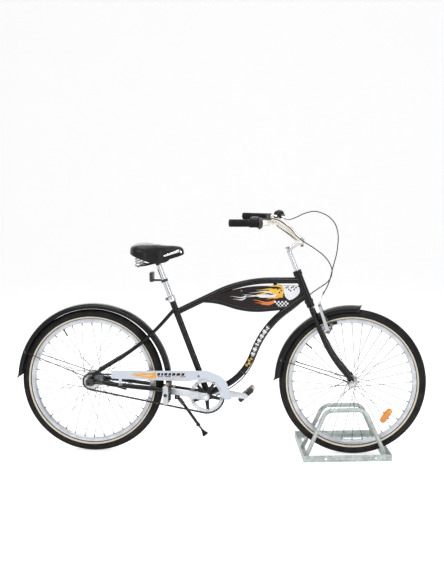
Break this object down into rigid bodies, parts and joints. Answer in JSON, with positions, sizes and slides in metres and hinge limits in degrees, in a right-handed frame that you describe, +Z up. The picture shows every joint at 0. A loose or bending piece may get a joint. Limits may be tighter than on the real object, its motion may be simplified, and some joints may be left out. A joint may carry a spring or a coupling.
{
  "type": "cruiser bicycle with wheel rack",
  "caption": "Cruiser bicycle with curved frame, tank panel, fenders, chain guard and wide bar, its front wheel held in a galvanised floor rack.",
  "frame": {"origin": "on the floor under the middle of the whole object, in the plane of the wheels", "axes": "+X forward, +Y to the rider's left, +Z up"},
  "size_m": [1.8709, 0.7418, 1.1],
  "materials": {
    "black_paint": "high gloss enamel",
    "black_metal": "satin black",
    "guard_paint": "gloss white enamel",
    "chrome": "polished",
    "polished_alloy": "polished",
    "steel": "zinc plated",
    "chain_steel": "dull brown steel",
    "tyre_rubber": "black tread with pale side bands",
    "grip_rubber": "moulded",
    "black_plastic": "moulded",
    "cable_housing": "smooth",
    "saddle_vinyl": "glossy black vinyl",
    "amber_lens": "prismatic lens",
    "red_lens": "prismatic lens in a black housing",
    "galvanised": "hot-dip galvanised"
  },
  "bodies": {
    "fork": {"fork": "black_paint", "headset_nut": "black_metal", "stem": "chrome", "handlebar": "chrome", "grip_right": "grip_rubber", "grip_left": "grip_rubber", "twist_shifter": "black_plastic", "brake_lever": "black_plastic", "bell": "black_plastic", "front_fender": "black_paint", "front_fender_stays": "black_metal", "brake_arm_right": "polished_alloy", "brake_arm_left": "polished_alloy", "front_brake_cable": "cable_housing", "shift_cable_upper": "cable_housing", "front_axle": "steel", "rack_base": "galvanised", "rack_hoops": "galvanised"},
    "front_wheel": {"front_tyre": "tyre_rubber", "front_rim": "polished_alloy", "front_spokes": "steel", "front_hub": "polished_alloy", "wheel_reflector": "amber_lens"},
    "frame": {"head_tube": "black_paint", "top_tube": "black_paint", "tank_tube": "black_paint", "down_tube": "black_paint", "seat_tube": "black_paint", "seat_stays": "black_paint", "chain_stays": "black_paint", "bottom_bracket": "black_paint", "tank_panel": "black_paint", "seat_clamp": "chrome", "seat_post": "chrome", "saddle": "saddle_vinyl", "saddle_frame": "chrome", "rear_reflector": "red_lens", "rear_fender": "black_paint", "rear_fender_stays": "black_metal", "chain_guard": "guard_paint", "chain": "chain_steel", "rear_axle": "steel", "shift_box": "black_plastic", "coaster_arm": "black_metal", "kickstand_bracket": "black_metal", "shift_cable_lower": "cable_housing"},
    "rear_wheel": {"rear_tyre": "tyre_rubber", "rear_rim": "polished_alloy", "rear_spokes": "steel", "rear_hub": "polished_alloy"},
    "sprocket": {"sprocket": "steel"},
    "crank": {"crank_axle": "steel", "crank_arm_right": "polished_alloy", "crank_arm_left": "polished_alloy", "chainring": "steel"},
    "pedal_right": {"pedal_right": "grip_rubber"},
    "pedal_left": {"pedal_left": "grip_rubber"},
    "kickstand": {"kickstand": "black_metal"}
  },
  "joints": [
    {"name": "steering", "type": "hinge", "parent": "fork", "child": "frame", "pos_m": [0.38756, 0, 0.76], "axis": [-0.3649, 0, 0.9311], "range_deg": [-60, 60]},
    {"name": "front_wheel_spin", "type": "hinge", "parent": "fork", "child": "front_wheel", "pos_m": [0.60548, 0, 0.33], "axis": [0, 1, 0], "continuous": true},
    {"name": "rear_wheel_spin", "type": "hinge", "parent": "frame", "child": "rear_wheel", "pos_m": [-0.58452, 0, 0.33], "axis": [0, 1, 0], "continuous": true},
    {"name": "crank_spin", "type": "hinge", "parent": "frame", "child": "crank", "pos_m": [-0.05152, 0, 0.27], "axis": [0, 1, 0], "continuous": true},
    {"name": "sprocket_spin", "type": "hinge", "parent": "frame", "child": "sprocket", "pos_m": [-0.58452, 0, 0.33], "axis": [0, 1, 0], "continuous": true},
    {"name": "pedal_right_spin", "type": "hinge", "parent": "crank", "child": "pedal_right", "pos_m": [-0.2182, -0.1, 0.29789], "axis": [0, 1, 0], "continuous": true},
    {"name": "pedal_left_spin", "type": "hinge", "parent": "crank", "child": "pedal_left", "pos_m": [0.11516, 0.1, 0.24211], "axis": [0, 1, 0], "continuous": true},
    {"name": "kickstand_fold", "type": "hinge", "parent": "frame", "child": "kickstand", "pos_m": [-0.19652, 0.034, 0.247], "axis": [0, 1, 0], "range_deg": [0, 120]}
  ],
  "couplings": [
    {"joint": "sprocket_spin", "follows": "crank_spin", "ratio": 2.2222}
  ]
}
